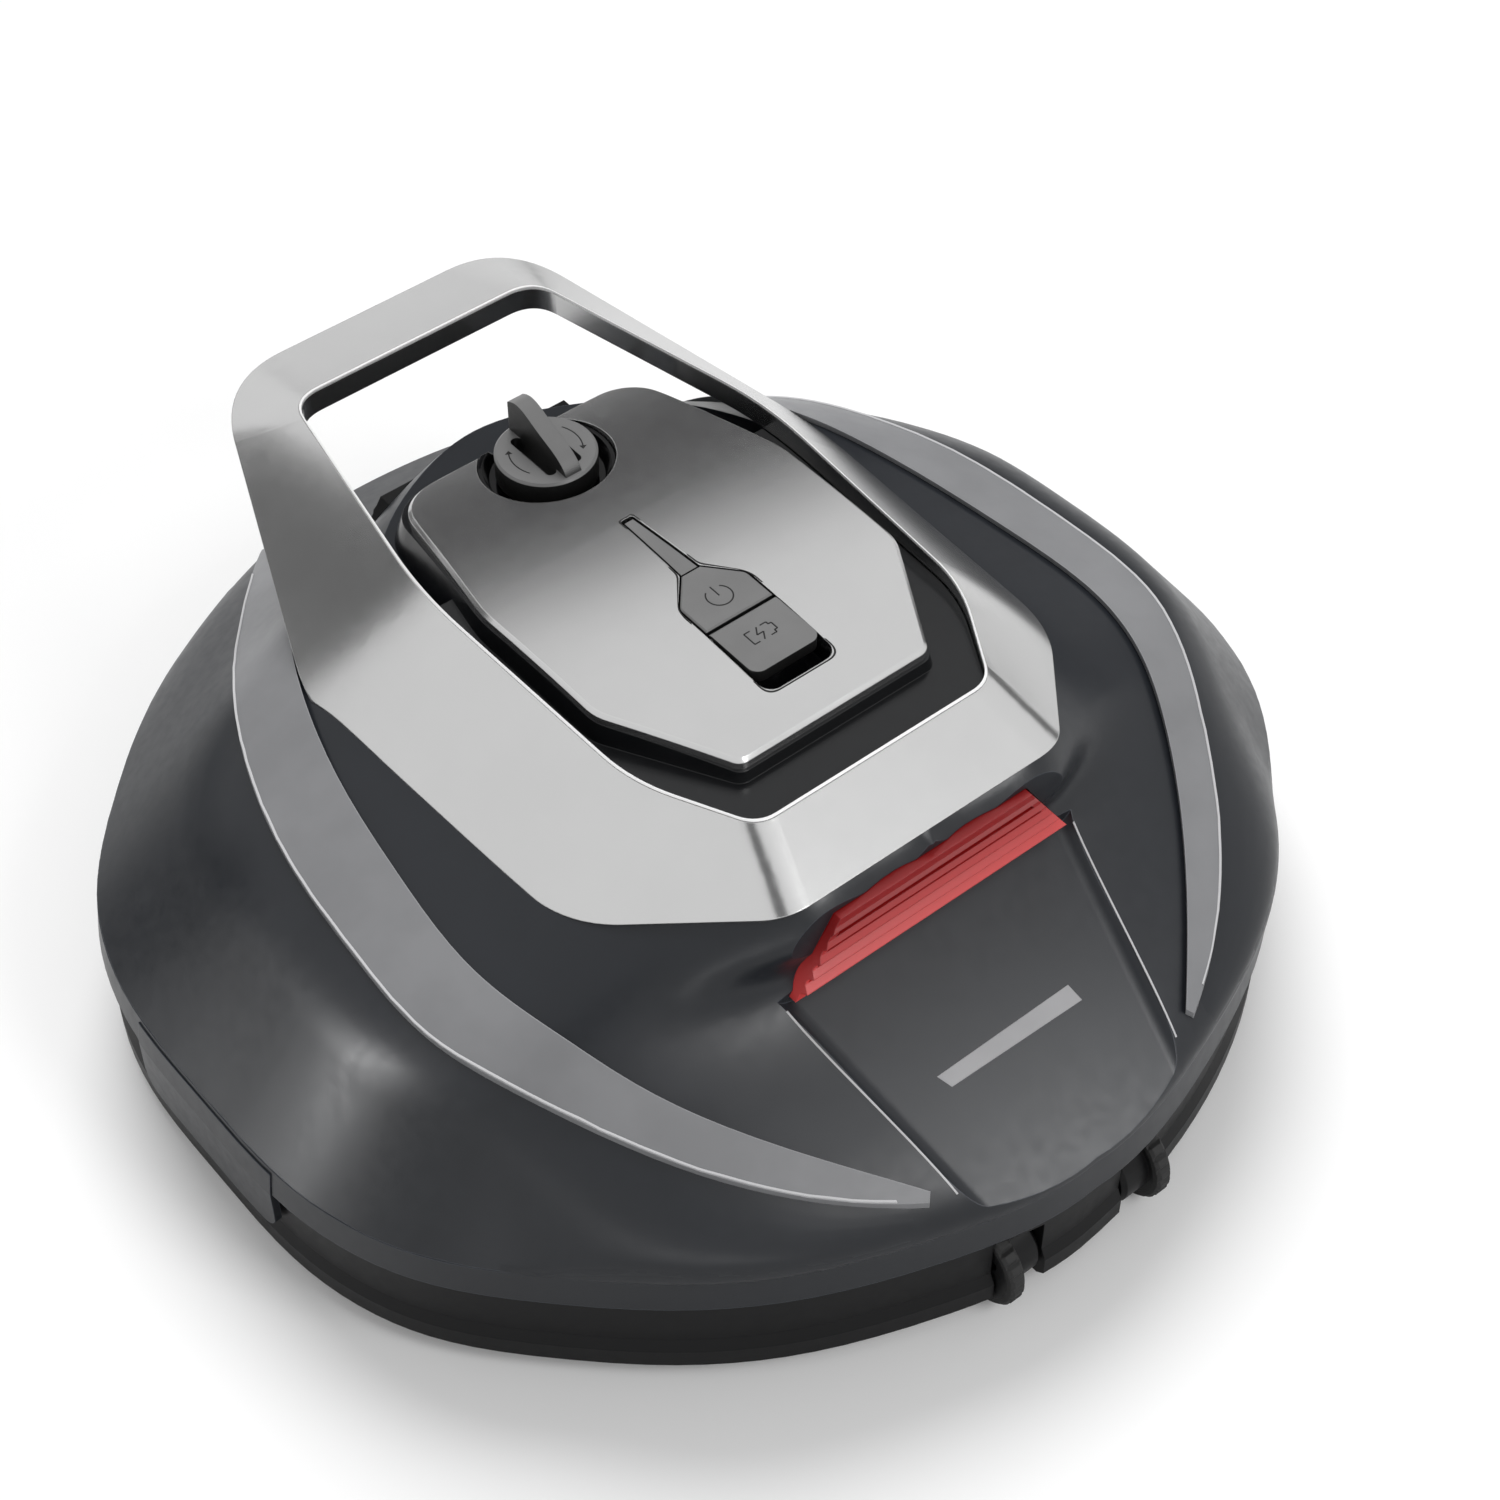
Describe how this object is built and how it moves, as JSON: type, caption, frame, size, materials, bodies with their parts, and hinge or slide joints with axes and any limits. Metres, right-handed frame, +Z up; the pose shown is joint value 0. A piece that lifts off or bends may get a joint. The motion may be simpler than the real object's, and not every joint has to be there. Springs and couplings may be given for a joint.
{
  "type": "cordless robotic pool cleaner",
  "caption": "Cordless robotic pool cleaner: low round dome on a wheeled base, loop carrying handle, control panel with locking knob, red water outlets and rubber wipers",
  "frame": {"origin": "on the floor under the middle of the body, where the wheels touch the ground", "axes": "+Z up, -Y towards the front outlet grille, +X to the right of someone who looks at the front"},
  "size_m": [0.409, 0.41, 0.1755],
  "materials": {
    "slate": "satin moulded dark slate plastic",
    "stripe_grey": "matt mid grey inlay",
    "silver": "satin metallic silver paint on plastic",
    "gloss_black": "polished black plastic",
    "key_grey": "matt grey plastic",
    "outlet_red": "glossy red plastic",
    "black_plastic": "matt black moulded plastic",
    "rubber": "soft black rubber",
    "rotor_plastic": "glass-filled grey plastic",
    "steel": "stainless steel",
    "screen_mesh": "fine woven nylon mesh",
    "battery_wrap": "shrink sleeve",
    "board_green": "coated circuit board"
  },
  "bodies": {
    "base": {"base_tray": "black_plastic", "lock_cup": "black_plastic", "front_wiper": "rubber", "rear_wiper": "rubber", "flap_pins": "steel", "filter_frame": "black_plastic", "filter_screen": "screen_mesh", "wheel_axles": "steel", "base_screws": "steel"},
    "cover": {"top_shell": "slate", "right_trim": "stripe_grey", "left_trim": "stripe_grey", "handle": "silver", "panel_base": "slate", "top_panel": "silver", "knob_seat": "gloss_black", "indicator_strip": "key_grey", "charge_socket": "black_plastic", "power_switch": "black_plastic", "front_grille": "outlet_red", "rear_grille": "outlet_red", "left_side_panel": "slate", "right_side_panel": "slate", "pump_housing": "black_plastic", "pump_lid": "black_plastic", "lid_gasket": "rubber", "lid_screws": "steel", "battery_pack": "battery_wrap", "control_board": "board_green", "front_motor": "steel", "rear_motor": "steel", "front_shaft_seal": "rubber", "rear_shaft_seal": "rubber", "front_duct": "black_plastic", "rear_duct": "black_plastic"},
    "lock_knob": {"knob": "key_grey", "lock_shaft": "black_plastic"},
    "button": {"power_button": "key_grey"},
    "cap": {"charge_cap": "key_grey"},
    "front_pump_rotor": {"front_rotor": "rotor_plastic"},
    "rear_pump_rotor": {"rear_rotor": "rotor_plastic"},
    "front_inlet_flap": {"front_flap": "black_plastic"},
    "rear_inlet_flap": {"rear_flap": "black_plastic"},
    "front_left_roller": {"front_left_wheel": "black_plastic", "front_left_tyre": "rubber"},
    "front_right_roller": {"front_right_wheel": "black_plastic", "front_right_tyre": "rubber"},
    "rear_left_roller": {"rear_left_wheel": "black_plastic", "rear_left_tyre": "rubber"},
    "rear_right_roller": {"rear_right_wheel": "black_plastic", "rear_right_tyre": "rubber"}
  },
  "joints": [
    {"name": "cover_lift", "type": "slide", "parent": "base", "child": "cover", "axis": [0, 0, 1], "range_m": [0, 0.12]},
    {"name": "knob_turn", "type": "hinge", "parent": "cover", "child": "lock_knob", "pos_m": [0, 0.0773, 0.156], "axis": [0, 0, -1], "range_deg": [0, 90]},
    {"name": "button_press", "type": "slide", "parent": "cover", "child": "button", "axis": [0, 0, -1], "range_m": [0, 0.0015], "stiffness_N_per_m": 800},
    {"name": "cap_open", "type": "hinge", "parent": "cover", "child": "cap", "pos_m": [0, -0.0282, 0.1611], "axis": [-1, 0, 0], "range_deg": [0, 100]},
    {"name": "front_rotor_spin", "type": "hinge", "parent": "cover", "child": "front_pump_rotor", "pos_m": [-0.036, -0.078, 0.102], "axis": [0, 1, 0], "continuous": true},
    {"name": "rear_rotor_spin", "type": "hinge", "parent": "cover", "child": "rear_pump_rotor", "pos_m": [0.036, 0.078, 0.102], "axis": [0, 1, 0], "continuous": true},
    {"name": "front_flap_open", "type": "hinge", "parent": "base", "child": "front_inlet_flap", "pos_m": [0, -0.0285, 0.016], "axis": [-1, 0, 0], "range_deg": [0, 60]},
    {"name": "rear_flap_open", "type": "hinge", "parent": "base", "child": "rear_inlet_flap", "pos_m": [0, 0.0285, 0.016], "axis": [1, 0, 0], "range_deg": [0, 60]},
    {"name": "front_left_roll", "type": "hinge", "parent": "base", "child": "front_left_roller", "pos_m": [-0.027, -0.187, 0.018], "axis": [1, 0, 0], "continuous": true},
    {"name": "front_right_roll", "type": "hinge", "parent": "base", "child": "front_right_roller", "pos_m": [0.027, -0.187, 0.018], "axis": [1, 0, 0], "continuous": true},
    {"name": "rear_left_roll", "type": "hinge", "parent": "base", "child": "rear_left_roller", "pos_m": [-0.027, 0.187, 0.018], "axis": [1, 0, 0], "continuous": true},
    {"name": "rear_right_roll", "type": "hinge", "parent": "base", "child": "rear_right_roller", "pos_m": [0.027, 0.187, 0.018], "axis": [1, 0, 0], "continuous": true}
  ]
}
